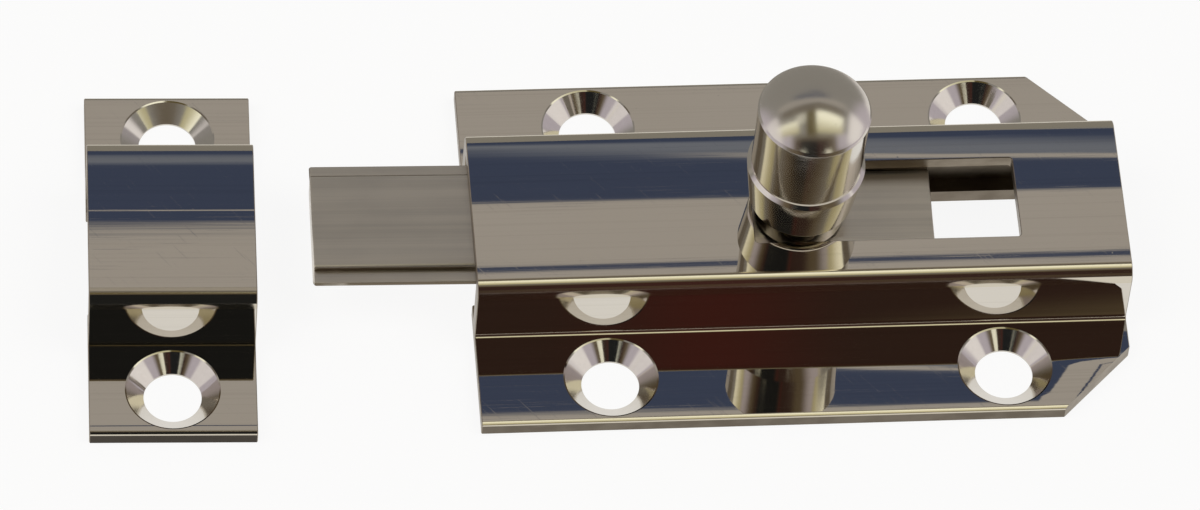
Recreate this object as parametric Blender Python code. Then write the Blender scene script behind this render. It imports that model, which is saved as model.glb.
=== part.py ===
"""Cupboard bolt set: an extruded case with a sliding bar and turned knob, and its keeper.

The set lies on its back, as it would on a door laid flat. X runs along the bolt, from
the keeper towards the cut-off corners of the case. Y runs across it and Z up, away
from the door. The origin is at the bottom centre of the whole set, and the bar is
thrown, with its knob at the keeper's end of the slot. All lengths are in metres.
"""

import math

import bmesh
import bpy
from mathutils import Vector

# Extruded section that the case and the keeper are both cut from
PLATE_WIDTH = 0.0315
PLATE_THICKNESS = 0.00125
PLATE_EDGE_RADIUS = 0.0003
HOUSING_WIDTH = 0.0151
HOUSING_HEIGHT = 0.0070
HOUSING_EDGE_RADIUS = 0.0012
SIDE_WALL = 0.0016
TOP_WALL = 0.0010
CHANNEL_CORNER_RADIUS = 0.0003
LIP_OPENING = 0.0095

# Case
CASE_LENGTH = 0.0500
CORNER_CUT = 0.0055
SLOT_WIDTH = 0.0074
SLOT_END_MARGIN = 0.0082
SLOT_CORNER_RADIUS = 0.0003
LEFT_HOLE_INSET = 0.0101
RIGHT_HOLE_INSET = 0.00975

# Keeper
KEEPER_LENGTH = 0.0127
KEEPER_GAP = 0.00435

# Countersunk screw holes in the flanges
HOLE_EDGE_INSET = 0.0040
HOLE_DIAMETER = 0.0044
COUNTERSINK_DIAMETER = 0.00715
HOLE_LAND = 0.00015

# Sliding bar
BAR_PROJECTION = 0.0121
BAR_TAIL = 0.0103
BAR_THICKNESS = 0.0024
BAR_STEP = 0.0005
BAR_RIB_THICKNESS = 0.0006
BAR_EDGE_RADIUS = 0.00025
BAR_END_BEVEL = 0.00015
BOLT_TRAVEL = 0.0130

# Knob
BARREL_RADIUS = 0.00430
BARREL_HEIGHT = 0.0062
SHOULDER_ROUNDING = 0.0006
DOME_RADIUS = 0.0062
COLLAR_RADIUS = 0.00450
COLLAR_FOOT_RADIUS = 0.00400
COLLAR_HEIGHT = 0.0042
COLLAR_BEVEL = 0.0003
COLLAR_FOOT_ROUNDING = 0.0004
SPIGOT_DIAMETER = 0.0034
RIVET_HEAD_DIAMETER = 0.0054
RIVET_HEAD_HEIGHT = 0.0005

# Bow spring under the bar
SPRING_LENGTH = 0.0180
SPRING_THICKNESS = 0.00035
SPRING_TIP_LENGTH = 0.0015
SPRING_TIP_LIFT = 0.0004

# Clearances between the pieces
TOP_CLEARANCE = 0.0004
RIB_CLEARANCE = 0.0004
CORE_CLEARANCE = 0.0004
STEM_CLEARANCE = 0.0003
KNOB_CLEARANCE = 0.0008
SEAT_GAP = 0.0003
SPRING_CLEARANCE = 0.0005

# Fineness of the round surfaces, and how far a cutter reaches past what it cuts
ARC_STEPS = 6
TURNED_STEPS = 64
DOME_STEPS = 8
BOW_STEPS = 20
CUT_MARGIN = 0.001
RIM_MARGIN = 0.0001

# Places that follow from the sizes above
SET_LENGTH = KEEPER_LENGTH + KEEPER_GAP + BAR_PROJECTION + CASE_LENGTH
KEEPER_LEFT = -SET_LENGTH / 2
KEEPER_RIGHT = KEEPER_LEFT + KEEPER_LENGTH
BAR_LEFT = KEEPER_RIGHT + KEEPER_GAP
CASE_LEFT = BAR_LEFT + BAR_PROJECTION
CASE_RIGHT = CASE_LEFT + CASE_LENGTH
CHANNEL_WIDTH = HOUSING_WIDTH - 2 * SIDE_WALL
CHANNEL_TOP = HOUSING_HEIGHT - TOP_WALL
STEM_DIAMETER = SLOT_WIDTH - 2 * STEM_CLEARANCE
SLOT_LENGTH = BOLT_TRAVEL + STEM_DIAMETER + 2 * STEM_CLEARANCE
SLOT_RIGHT = CASE_RIGHT - SLOT_END_MARGIN
SLOT_LEFT = SLOT_RIGHT - SLOT_LENGTH
KNOB_X = SLOT_LEFT + STEM_CLEARANCE + STEM_DIAMETER / 2
BAR_RIGHT = KNOB_X + BAR_TAIL
BAR_TOP = CHANNEL_TOP - TOP_CLEARANCE
BAR_BOTTOM = BAR_TOP - BAR_THICKNESS
BAR_MIDDLE = (BAR_TOP + BAR_BOTTOM) / 2
BAR_CORE_WIDTH = LIP_OPENING - 2 * CORE_CLEARANCE
BAR_RIB_WIDTH = CHANNEL_WIDTH - 2 * RIB_CLEARANCE
SPIGOT_HOLE_DIAMETER = SPIGOT_DIAMETER + 2 * SEAT_GAP
SPRING_TOP = BAR_BOTTOM - SEAT_GAP
SPRING_WIDTH = CHANNEL_WIDTH - 2 * SPRING_CLEARANCE
RIVET_TOP = SPRING_TOP - SPRING_THICKNESS - SEAT_GAP


def make_material(name, colour, roughness):
    """A bare metal with one colour and one roughness."""
    material = bpy.data.materials.new(name)
    material.use_nodes = True
    shader = material.node_tree.nodes["Principled BSDF"]
    shader.inputs["Base Color"].default_value = (*colour, 1.0)
    shader.inputs["Metallic"].default_value = 1.0
    shader.inputs["Roughness"].default_value = roughness
    return material


def rounded_outline(corners):
    """Turns corners, each (x, y, radius), into a closed outline with arcs at the corners."""
    points = []
    count = len(corners)
    for i, (x, y, radius) in enumerate(corners):
        corner = Vector((x, y))
        if radius == 0:
            points.append(corner)
            continue
        before = (Vector(corners[i - 1][:2]) - corner).normalized()
        after = (Vector(corners[(i + 1) % count][:2]) - corner).normalized()
        half_angle = before.angle(after) / 2
        centre = corner + (before + after).normalized() * radius / math.sin(half_angle)
        start = corner + before * radius / math.tan(half_angle) - centre
        end = corner + after * radius / math.tan(half_angle) - centre
        sweep = start.angle_signed(end)
        for step in range(ARC_STEPS + 1):
            angle = -sweep * step / ARC_STEPS
            turned = Vector((
                start.x * math.cos(angle) - start.y * math.sin(angle),
                start.x * math.sin(angle) + start.y * math.cos(angle),
            ))
            points.append(centre + turned)
    return points


def mirrored(corners):
    """Adds the other half of a section that is the same on both sides of its first value."""
    return corners + [(-x, y, radius) for x, y, radius in reversed(corners)]


def new_object(name, mesh_data, material=None):
    """Puts a bmesh into the scene as one object and frees it."""
    bmesh.ops.recalc_face_normals(mesh_data, faces=mesh_data.faces)
    mesh = bpy.data.meshes.new(name)
    mesh_data.to_mesh(mesh)
    mesh_data.free()
    if material:
        mesh.materials.append(material)
    created = bpy.data.objects.new(name, mesh)
    bpy.context.collection.objects.link(created)
    return created


def extruded(outline, place, direction):
    """Draws an outline through place() and pushes it along direction."""
    mesh_data = bmesh.new()
    corners = [mesh_data.verts.new(place(point)) for point in outline]
    face = mesh_data.faces.new(corners)
    pushed = bmesh.ops.extrude_face_region(mesh_data, geom=[face])
    moved = [item for item in pushed["geom"] if isinstance(item, bmesh.types.BMVert)]
    bmesh.ops.translate(mesh_data, verts=moved, vec=direction)
    return mesh_data


def turned(profile):
    """Spins a profile of (radius, height) points, both ends on the axis, about Z."""
    mesh_data = bmesh.new()
    points = [mesh_data.verts.new((radius, 0, height)) for radius, height in profile]
    edges = [mesh_data.edges.new(pair) for pair in zip(points, points[1:])]
    bmesh.ops.spin(
        mesh_data,
        geom=points + edges,
        axis=(0, 0, 1),
        cent=(0, 0, 0),
        steps=TURNED_STEPS,
        angle=2 * math.pi,
        use_merge=True,
    )
    bmesh.ops.remove_doubles(mesh_data, verts=mesh_data.verts, dist=1e-6)
    return mesh_data


def shade_round(item):
    """Shades a piece smooth, with its real edges kept sharp."""
    item.data.shade_smooth()
    item.data.set_sharp_from_angle(angle=math.radians(25))


def cut(target, cutter):
    """Takes a cutter out of a piece and leaves the cutter as a hidden guide."""
    cutter.hide_render = True
    cutter.display_type = "WIRE"
    boolean = target.modifiers.new(cutter.name, "BOOLEAN")
    boolean.operation = "DIFFERENCE"
    boolean.solver = "EXACT"
    boolean.object = cutter


def section_outline():
    """Section of the extrusion: two flanges, the raised housing and the channel with its lips."""
    half_plate = PLATE_WIDTH / 2
    half_housing = HOUSING_WIDTH / 2
    half_channel = CHANNEL_WIDTH / 2
    half_lip = LIP_OPENING / 2
    return rounded_outline(mirrored([
        (half_housing, HOUSING_HEIGHT, HOUSING_EDGE_RADIUS),
        (half_housing, PLATE_THICKNESS, 0),
        (half_plate, PLATE_THICKNESS, PLATE_EDGE_RADIUS),
        (half_plate, 0, 0),
        (half_lip, 0, 0),
        (half_lip, PLATE_THICKNESS, 0),
        (half_channel, PLATE_THICKNESS, 0),
        (half_channel, CHANNEL_TOP, CHANNEL_CORNER_RADIUS),
    ]))


def extrusion_length(name, left, length, material):
    """A length of the extrusion, sawn square."""
    mesh_data = extruded(
        section_outline(),
        lambda point: (left, point.x, point.y),
        Vector((length, 0, 0)),
    )
    piece = new_object(name, mesh_data, material)
    shade_round(piece)
    return piece


def cut_screw_hole(target, name, x, side):
    """A countersunk hole in the flange on one side of the housing."""
    cone_foot = HOLE_DIAMETER / 2
    cone_top = COUNTERSINK_DIAMETER / 2
    slope = (cone_top - cone_foot) / (PLATE_THICKNESS - HOLE_LAND)
    rim_height = PLATE_THICKNESS + RIM_MARGIN
    cutter = new_object(name, turned([
        (0, rim_height),
        (cone_top + slope * RIM_MARGIN, rim_height),
        (cone_foot, HOLE_LAND),
        (cone_foot, -CUT_MARGIN),
        (0, -CUT_MARGIN),
    ]))
    cutter.location = (x, side * (PLATE_WIDTH / 2 - HOLE_EDGE_INSET), 0)
    cut(target, cutter)


def cut_slot(target):
    """The long slot in the top of the case that the knob's stem runs in."""
    half_width = SLOT_WIDTH / 2
    outline = rounded_outline([
        (SLOT_LEFT, -half_width, SLOT_CORNER_RADIUS),
        (SLOT_RIGHT, -half_width, SLOT_CORNER_RADIUS),
        (SLOT_RIGHT, half_width, SLOT_CORNER_RADIUS),
        (SLOT_LEFT, half_width, SLOT_CORNER_RADIUS),
    ])
    cutter = new_object("slot_cutter", extruded(
        outline,
        lambda point: (point.x, point.y, CHANNEL_TOP - CUT_MARGIN),
        Vector((0, 0, TOP_WALL + 2 * CUT_MARGIN)),
    ))
    cut(target, cutter)


def cut_corner(target, name, side):
    """A flange corner sawn off at 45 degrees, at the end away from the keeper."""
    edge = side * PLATE_WIDTH / 2
    reach = side * CUT_MARGIN
    outline = [
        Vector((CASE_RIGHT - CORNER_CUT - CUT_MARGIN, edge + reach)),
        Vector((CASE_RIGHT + CUT_MARGIN, edge - side * CORNER_CUT - reach)),
        Vector((CASE_RIGHT + CUT_MARGIN, edge + reach)),
    ]
    cutter = new_object(name, extruded(
        outline,
        lambda point: (point.x, point.y, -CUT_MARGIN),
        Vector((0, 0, PLATE_THICKNESS + 2 * CUT_MARGIN)),
    ))
    cut(target, cutter)


def build_case(material):
    """The case: extrusion, slot, four screw holes and two corners cut off."""
    case = extrusion_length("case", CASE_LEFT, CASE_LENGTH, material)
    cut_slot(case)
    left_hole = CASE_LEFT + LEFT_HOLE_INSET
    right_hole = CASE_RIGHT - RIGHT_HOLE_INSET
    for side, side_name in ((-1, "front"), (1, "back")):
        cut_screw_hole(case, f"case_hole_{side_name}_left", left_hole, side)
        cut_screw_hole(case, f"case_hole_{side_name}_right", right_hole, side)
        cut_corner(case, f"corner_cutter_{side_name}", side)


def build_keeper(material):
    """The keeper: a short length of the same extrusion with one hole in each flange."""
    keeper = extrusion_length("keeper", KEEPER_LEFT, KEEPER_LENGTH, material)
    middle = (KEEPER_LEFT + KEEPER_RIGHT) / 2
    for side, side_name in ((-1, "front"), (1, "back")):
        cut_screw_hole(keeper, f"keeper_hole_{side_name}", middle, side)


def bar_outline():
    """Section of the bar: a flat core with a rib along each side that the lips keep in."""
    half_core = BAR_CORE_WIDTH / 2
    half_rib = BAR_RIB_WIDTH / 2
    rib_top = BAR_TOP - BAR_STEP
    rib_bottom = rib_top - BAR_RIB_THICKNESS
    return rounded_outline(mirrored([
        (half_core, BAR_TOP, BAR_EDGE_RADIUS),
        (half_core, rib_top, 0),
        (half_rib, rib_top, 0),
        (half_rib, rib_bottom, 0),
        (half_core, rib_bottom, 0),
        (half_core, BAR_BOTTOM, BAR_EDGE_RADIUS),
    ]))


def build_bar(material):
    """The sliding bar, bevelled at both ends and drilled for the knob's spigot."""
    left = BAR_LEFT - KNOB_X
    mesh_data = extruded(
        bar_outline(),
        lambda point: (left, point.x, point.y),
        Vector((BAR_RIGHT - BAR_LEFT, 0, 0)),
    )
    for end in (left, BAR_TAIL):
        rim = [edge for edge in mesh_data.edges if all(abs(v.co.x - end) < 1e-7 for v in edge.verts)]
        bmesh.ops.bevel(mesh_data, geom=rim, offset=BAR_END_BEVEL, segments=1, affect="EDGES")
    bar = new_object("slide_bar", mesh_data, material)
    shade_round(bar)
    hole = new_object("spigot_hole_in_bar", turned([
        (0, BAR_TOP + CUT_MARGIN),
        (SPIGOT_HOLE_DIAMETER / 2, BAR_TOP + CUT_MARGIN),
        (SPIGOT_HOLE_DIAMETER / 2, BAR_BOTTOM - CUT_MARGIN),
        (0, BAR_BOTTOM - CUT_MARGIN),
    ]))
    cut(bar, hole)
    return [bar, hole]


def arc_points(centre_radius, centre_height, radius, start, end, steps):
    """Points of an arc on a turned profile, between two angles counted up from the horizontal."""
    angles = [start + (end - start) * step / steps for step in range(steps + 1)]
    return [
        (centre_radius + radius * math.cos(a), centre_height + radius * math.sin(a))
        for a in angles
    ]


def dome_profile(shoulder_height):
    """The knob's domed top, from the axis out, and the shoulder that rounds it into the barrel."""
    rounding_centre = BARREL_RADIUS - SHOULDER_ROUNDING
    spread = math.asin(rounding_centre / (DOME_RADIUS - SHOULDER_ROUNDING))
    dome_centre = shoulder_height - (DOME_RADIUS - SHOULDER_ROUNDING) * math.cos(spread)
    top = math.radians(90)
    meeting = top - spread
    dome = arc_points(0, dome_centre, DOME_RADIUS, top, meeting, DOME_STEPS)
    shoulder = arc_points(
        rounding_centre, shoulder_height, SHOULDER_ROUNDING, meeting, 0, ARC_STEPS,
    )
    return dome[:-1] + shoulder


def knob_profile():
    """Half outline of the knob, from the top of its dome down to the riveted end of its spigot."""
    collar_foot = HOUSING_HEIGHT + KNOB_CLEARANCE
    collar_top = collar_foot + COLLAR_HEIGHT
    barrel_foot = collar_top + COLLAR_BEVEL
    stem_foot = BAR_TOP + SEAT_GAP
    stem_radius = STEM_DIAMETER / 2
    spigot_radius = SPIGOT_DIAMETER / 2
    head_radius = RIVET_HEAD_DIAMETER / 2
    head_foot = RIVET_TOP - RIVET_HEAD_HEIGHT
    profile = dome_profile(barrel_foot + BARREL_HEIGHT)
    profile.append((BARREL_RADIUS, barrel_foot))
    profile.append((COLLAR_RADIUS, collar_top))
    profile += arc_points(
        COLLAR_FOOT_RADIUS - COLLAR_FOOT_ROUNDING, collar_foot + COLLAR_FOOT_ROUNDING,
        COLLAR_FOOT_ROUNDING, 0, math.radians(-90), ARC_STEPS,
    )
    profile += [
        (stem_radius, collar_foot),
        (stem_radius, stem_foot),
        (spigot_radius, stem_foot),
        (spigot_radius, RIVET_TOP),
        (head_radius, RIVET_TOP),
        (head_radius - RIVET_HEAD_HEIGHT, head_foot),
        (0, head_foot),
    ]
    return profile


def build_knob(material):
    """The turned knob with its stem and the spigot that is riveted over under the spring."""
    knob = new_object("knob", turned(knob_profile()), material)
    shade_round(knob)
    return [knob]


def spring_line():
    """Underside of the bow spring as (x, z) points, from one turned-up tip to the other."""
    half_bow = SPRING_LENGTH / 2 - SPRING_TIP_LENGTH
    foot = PLATE_THICKNESS + SEAT_GAP
    rise = SPRING_TOP - SPRING_THICKNESS - foot
    line = []
    for step in range(BOW_STEPS + 1):
        share = 2 * step / BOW_STEPS - 1
        height = foot + rise * (1 + math.cos(math.pi * share)) / 2
        line.append((half_bow * share, height))
    tip = (half_bow + SPRING_TIP_LENGTH, foot + SPRING_TIP_LIFT)
    return [(-tip[0], tip[1])] + line + [tip]


def build_spring(material):
    """The bow spring: a strip that lifts the bar off the lips and slides with it."""
    underside = spring_line()
    upper = [(x, z + SPRING_THICKNESS) for x, z in reversed(underside)]
    mesh_data = extruded(
        [Vector(point) for point in underside + upper],
        lambda point: (point.x, -SPRING_WIDTH / 2, point.y),
        Vector((0, SPRING_WIDTH, 0)),
    )
    spring = new_object("bow_spring", mesh_data, material)
    shade_round(spring)
    hole = new_object("spigot_hole_in_spring", turned([
        (0, SPRING_TOP + CUT_MARGIN),
        (SPIGOT_HOLE_DIAMETER / 2, SPRING_TOP + CUT_MARGIN),
        (SPIGOT_HOLE_DIAMETER / 2, SPRING_TOP - SPRING_THICKNESS - CUT_MARGIN),
        (0, SPRING_TOP - SPRING_THICKNESS - CUT_MARGIN),
    ]))
    cut(spring, hole)
    return [spring, hole]


def build_sliding_group(plating, satin, steel):
    """The bar, knob and spring under one empty on the line that they slide along."""
    slide = bpy.data.objects.new("slide_axis", None)
    slide.location = (KNOB_X, 0, BAR_MIDDLE)
    bpy.context.collection.objects.link(slide)
    for item in build_bar(satin) + build_knob(plating) + build_spring(steel):
        item.parent = slide
        item.location.z = -BAR_MIDDLE


def build_set():
    """The whole set, in an emptied scene."""
    for item in list(bpy.data.objects):
        bpy.data.objects.remove(item)
    plating = make_material("polished_nickel", (0.66, 0.62, 0.55), 0.08)
    satin = make_material("satin_nickel", (0.50, 0.47, 0.42), 0.35)
    steel = make_material("spring_steel", (0.30, 0.31, 0.33), 0.40)
    build_case(plating)
    build_keeper(plating)
    build_sliding_group(plating, satin, steel)


build_set()
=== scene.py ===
import math

import bmesh
import bpy
from mathutils import Matrix, Vector


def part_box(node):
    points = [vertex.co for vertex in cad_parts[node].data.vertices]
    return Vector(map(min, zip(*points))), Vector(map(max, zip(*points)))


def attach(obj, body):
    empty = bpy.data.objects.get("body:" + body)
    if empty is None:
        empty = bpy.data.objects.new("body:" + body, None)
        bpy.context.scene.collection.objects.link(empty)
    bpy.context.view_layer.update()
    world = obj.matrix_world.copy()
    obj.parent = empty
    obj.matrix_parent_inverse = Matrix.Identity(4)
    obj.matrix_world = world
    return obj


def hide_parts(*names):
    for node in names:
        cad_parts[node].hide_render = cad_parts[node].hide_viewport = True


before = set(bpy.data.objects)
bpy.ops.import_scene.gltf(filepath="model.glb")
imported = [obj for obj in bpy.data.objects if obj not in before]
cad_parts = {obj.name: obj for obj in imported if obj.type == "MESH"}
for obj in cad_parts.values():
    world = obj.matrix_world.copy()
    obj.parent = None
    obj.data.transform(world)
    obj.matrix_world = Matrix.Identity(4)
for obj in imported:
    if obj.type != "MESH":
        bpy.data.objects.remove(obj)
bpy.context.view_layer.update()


# The case is a length of hat-shaped brass extrusion, nickel plated and polished like a
# mirror. Its slot is milled through the top, its four holes are drilled and countersunk,
# and two flange corners are sawn off. It is screwed to the door and doesn't move.

PLATE_WIDTH = 0.0315
PLATE_THICKNESS = 0.00125
PLATE_EDGE_RADIUS = 0.0003
HOUSING_WIDTH = 0.0151
HOUSING_HEIGHT = 0.0070
HOUSING_EDGE_RADIUS = 0.0012
SIDE_WALL = 0.0016
TOP_WALL = 0.0010
CHANNEL_CORNER_RADIUS = 0.0003
JUNCTION_RADIUS = 0.0003
LIP_OPENING = 0.0095
END_BEVEL = 0.00006
CORNER_CUT = 0.0055
SLOT_WIDTH = 0.0074
SLOT_LENGTH = 0.0204
SLOT_END_MARGIN = 0.0082
SLOT_CORNER_RADIUS = 0.0003
LEFT_HOLE_INSET = 0.0101
RIGHT_HOLE_INSET = 0.00975
HOLE_EDGE_INSET = 0.0040
HOLE_RADIUS = 0.0022
COUNTERSINK_RADIUS = 0.003575
HOLE_LAND = 0.00015
RIM_BEVEL = 0.00005
CUT_MARGIN = 0.001
RIM_MARGIN = 0.0001
SECTION_STEP = 0.0002
LENGTH_STEP = 0.0025
ARC_STEPS = 14
HOLE_STEPS = 96

NICKEL = (0.66, 0.62, 0.55, 1.0)
NICKEL_WARM = (0.645, 0.60, 0.525, 1.0)
NICKEL_DULL = (0.60, 0.56, 0.50, 1.0)
NICKEL_RUBBED = (0.60, 0.54, 0.42, 1.0)
NICKEL_STREAK = (0.610, 0.568, 0.500, 1.0)
NICKEL_DRAWN = (0.30, 0.255, 0.195, 1.0)
NICKEL_DRAWN_DARK = (0.23, 0.19, 0.14, 1.0)
# Near-black laid over unpolished faces as painted shade: a dark reflection on the front edge faces and
# the shade inside the channel.
NICKEL_PAINTED_SHADE = (0.025, 0.020, 0.015, 1.0)
# How far the channel's inside is darkened: painted shade in the recess.
CHANNEL_PAINTED_SHADE = 0.3
SCUFF_ANGLE = 0.9
MACHINED_FINISH = 1
UNPOLISHED_FINISH = 2


def arc(centre, radius, start, end, steps):
    """Points of an arc from one angle to another, in radians."""
    angles = [start + (end - start) * step / steps for step in range(steps + 1)]
    return [(centre[0] + radius * math.cos(a), centre[1] + radius * math.sin(a)) for a in angles]


def rounded(corners, steps):
    """A closed outline through corners (across, up, radius), with arcs at the rounded ones."""
    points = []
    for i, (across, up, radius) in enumerate(corners):
        corner = Vector((across, up))
        if radius == 0:
            points.append(corner)
            continue
        before = (Vector(corners[i - 1][:2]) - corner).normalized()
        after = (Vector(corners[(i + 1) % len(corners)][:2]) - corner).normalized()
        half_angle = before.angle(after) / 2
        centre = corner + (before + after).normalized() * radius / math.sin(half_angle)
        start = corner + before * radius / math.tan(half_angle) - centre
        end = corner + after * radius / math.tan(half_angle) - centre
        first = math.atan2(start.y, start.x)
        sweep = -start.angle_signed(end)
        points += [Vector(point) for point in arc(centre, radius, first, first + sweep, steps)]
    return points


def mirrored(corners):
    """Adds the other half of a section that is the same on both sides of its middle."""
    return corners + [(-across, up, radius) for across, up, radius in reversed(corners)]


def finely_stepped(outline, longest):
    """The same outline with its long straight runs divided."""
    points = []
    for i, point in enumerate(outline):
        following = outline[(i + 1) % len(outline)]
        parts = max(1, math.ceil((following - point).length / longest))
        points += [point.lerp(following, part / parts) for part in range(parts)]
    return points


def drawn_in(outline, depth):
    """The outline moved in by depth, square to each of its edges."""
    moved = []
    turning = sum(a.x * b.y - b.x * a.y for a, b in zip(outline, outline[1:] + outline[:1]))
    inward = math.copysign(1, turning)
    for i, point in enumerate(outline):
        before = (point - outline[i - 1]).normalized()
        after = (outline[(i + 1) % len(outline)] - point).normalized()
        along = (before + after).normalized()
        share = max(0.5, along.dot(after))
        moved.append(point + Vector((-along.y, along.x)) * inward * depth / share)
    return moved


def closed_body(name, points, faces, materials, material_index=0):
    """A new piece from its points and faces, with every face turned outwards."""
    shape = bmesh.new()
    corners = [shape.verts.new(point) for point in points]
    for face in faces:
        shape.faces.new([corners[i] for i in face]).material_index = material_index
    bmesh.ops.recalc_face_normals(shape, faces=shape.faces)
    mesh = bpy.data.meshes.new(name)
    shape.to_mesh(mesh)
    shape.free()
    for material in materials:
        mesh.materials.append(material)
    made = bpy.data.objects.new(name, mesh)
    bpy.context.scene.collection.objects.link(made)
    return made


def skinned(name, rings, materials, material_index=0):
    """A closed body over rings of points, each ring with as many points as the next."""
    around = len(rings[0])
    points = [point for ring in rings for point in ring]
    faces = [tuple(range(around)), tuple(range(len(points) - 1, len(points) - 1 - around, -1))]
    for ring in range(len(rings) - 1):
        for i in range(around):
            following = (i + 1) % around
            low, high = ring * around, (ring + 1) * around
            faces.append((low + following, low + i, high + i, high + following))
    return closed_body(name, points, faces, materials, material_index)


def cut_out(target, cutters):
    """Takes the cutters out of a piece for good and removes them."""
    for cutter in cutters:
        boolean = target.modifiers.new(cutter.name, "BOOLEAN")
        boolean.operation = "DIFFERENCE"
        boolean.solver = "EXACT"
        boolean.object = cutter
    scene_now = bpy.context.evaluated_depsgraph_get()
    result = bpy.data.meshes.new_from_object(target.evaluated_get(scene_now))
    target.modifiers.clear()
    target.data = result
    for cutter in cutters:
        bpy.data.objects.remove(cutter)


def extruded_section(name, left, right, materials):
    """A length of the extrusion with its sawn ends lightly broken."""
    half_plate = PLATE_WIDTH / 2
    half_housing = HOUSING_WIDTH / 2
    half_channel = half_housing - SIDE_WALL
    half_lip = LIP_OPENING / 2
    channel_top = HOUSING_HEIGHT - TOP_WALL
    outline = finely_stepped(rounded(mirrored([
        (half_housing, HOUSING_HEIGHT, HOUSING_EDGE_RADIUS),
        (half_housing, PLATE_THICKNESS, JUNCTION_RADIUS),
        (half_plate, PLATE_THICKNESS, PLATE_EDGE_RADIUS),
        (half_plate, 0, 0),
        (half_lip, 0, 0),
        (half_lip, PLATE_THICKNESS, 0),
        (half_channel, PLATE_THICKNESS, 0),
        (half_channel, channel_top, CHANNEL_CORNER_RADIUS),
    ]), ARC_STEPS), SECTION_STEP)
    narrow = drawn_in(outline, END_BEVEL)
    parts = math.ceil((right - left) / LENGTH_STEP)
    inner_left, inner_right = left + END_BEVEL, right - END_BEVEL
    places = [inner_left + (inner_right - inner_left) * part / parts for part in range(parts + 1)]
    rings = [[(x, point.x, point.y) for point in outline] for x in places]
    rings.insert(0, [(left, point.x, point.y) for point in narrow])
    rings.append([(right, point.x, point.y) for point in narrow])
    return skinned(name, rings, materials)


def hole_cutter(x, y, materials):
    """A drilled and countersunk hole with its rim lightly broken."""
    slope = (COUNTERSINK_RADIUS - HOLE_RADIUS) / (PLATE_THICKNESS - HOLE_LAND)
    profile = [
        (HOLE_RADIUS, -CUT_MARGIN),
        (HOLE_RADIUS, HOLE_LAND),
        (COUNTERSINK_RADIUS - slope * RIM_BEVEL, PLATE_THICKNESS - RIM_BEVEL),
        (COUNTERSINK_RADIUS + RIM_BEVEL, PLATE_THICKNESS),
        (COUNTERSINK_RADIUS + RIM_BEVEL + RIM_MARGIN, PLATE_THICKNESS + RIM_MARGIN / 2),
    ]
    rings = [
        [(x + radius * math.cos(angle), y + radius * math.sin(angle), height)
         for angle in (2 * math.pi * step / HOLE_STEPS for step in range(HOLE_STEPS))]
        for radius, height in profile
    ]
    return skinned("hole_cutter", rings, materials, MACHINED_FINISH)


def slot_cutter(left, right, materials):
    """The milled slot, with the edge around its mouth lightly broken."""
    rings = []
    for height, wider in (
        (HOUSING_HEIGHT - TOP_WALL - CUT_MARGIN, 0),
        (HOUSING_HEIGHT - RIM_BEVEL, 0),
        (HOUSING_HEIGHT, RIM_BEVEL),
        (HOUSING_HEIGHT + CUT_MARGIN, RIM_BEVEL + CUT_MARGIN),
    ):
        half = SLOT_WIDTH / 2 + wider
        radius = SLOT_CORNER_RADIUS + wider
        outline = rounded([
            (left - wider, -half, radius),
            (right + wider, -half, radius),
            (right + wider, half, radius),
            (left - wider, half, radius),
        ], ARC_STEPS)
        rings.append([(point.x, point.y, height) for point in outline])
    return skinned("slot_cutter", rings, materials, MACHINED_FINISH)


def corner_cutter(right, side, materials):
    """Saws one flange corner off at 45 degrees."""
    edge = side * PLATE_WIDTH / 2
    reach = side * CUT_MARGIN
    outline = [
        (right - CORNER_CUT - CUT_MARGIN, edge + reach),
        (right + CUT_MARGIN, edge - side * CORNER_CUT - reach),
        (right + CUT_MARGIN, edge + reach),
    ]
    heights = (-CUT_MARGIN, PLATE_THICKNESS + CUT_MARGIN)
    rings = [[(x, y, height) for x, y in outline] for height in heights]
    return skinned("corner_cutter", rings, materials, MACHINED_FINISH)


# How far the case's polished faces are shaded as leaning, in degrees towards the front
# edge. None of it is measured: the amounts are chosen so that the reflections fall where
# the photo has them, and the shape itself stays flat.
TOP_CROWN = 200.0
TOP_CROWN_GAIN = 2800.0
TOP_CROWN_START = -0.010
TOP_RIDGE = 0.0004
TOP_BACK_FALL = 1500.0
TOP_BACK_START = 0.0058
FRONT_FLANGE_LEAN = -0.68
FRONT_FLANGE_LEVEL = -0.0152
FRONT_FLANGE_CROWN = 175.0
FRONT_FLANGE_GAIN = 6000.0
FRONT_FLANGE_END = 0.0325
FRONT_FLANGE_END_GAIN = 600.0
FRONT_FLANGE_END_START = -0.0108
FRONT_FLANGE_END_SLOPE = 0.0010
BACK_FLANGE_LEAN = 0.45
BACK_FLANGE_LEVEL = 0.0154
BACK_FLANGE_CROWN = 200.0
HOLE_LEAN = -1.0


def case_top_lean(x, y):
    """Lean of the housing's top: crowned, and a little more so towards the right at the back."""
    crown = TOP_CROWN
    if y > TOP_RIDGE:
        crown += TOP_CROWN_GAIN * max(0.0, x - TOP_CROWN_START)
    return crown * (TOP_RIDGE - y) - TOP_BACK_FALL * max(0.0, y - TOP_BACK_START)


def case_flange_lean(x, y):
    """Lean of a flange's top. The front one is hollow towards the right and turns up at its end."""
    if y < 0:
        crown = FRONT_FLANGE_CROWN + FRONT_FLANGE_GAIN * max(0.0, x)
        share = min(1.0, max(0.0, (FRONT_FLANGE_END_START - y) / FRONT_FLANGE_END_SLOPE))
        end = share * FRONT_FLANGE_END_GAIN * max(0.0, x - FRONT_FLANGE_END)
        return FRONT_FLANGE_LEAN + crown * (FRONT_FLANGE_LEVEL - y) + end
    return BACK_FLANGE_LEAN + BACK_FLANGE_CROWN * (BACK_FLANGE_LEVEL - y)


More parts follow.
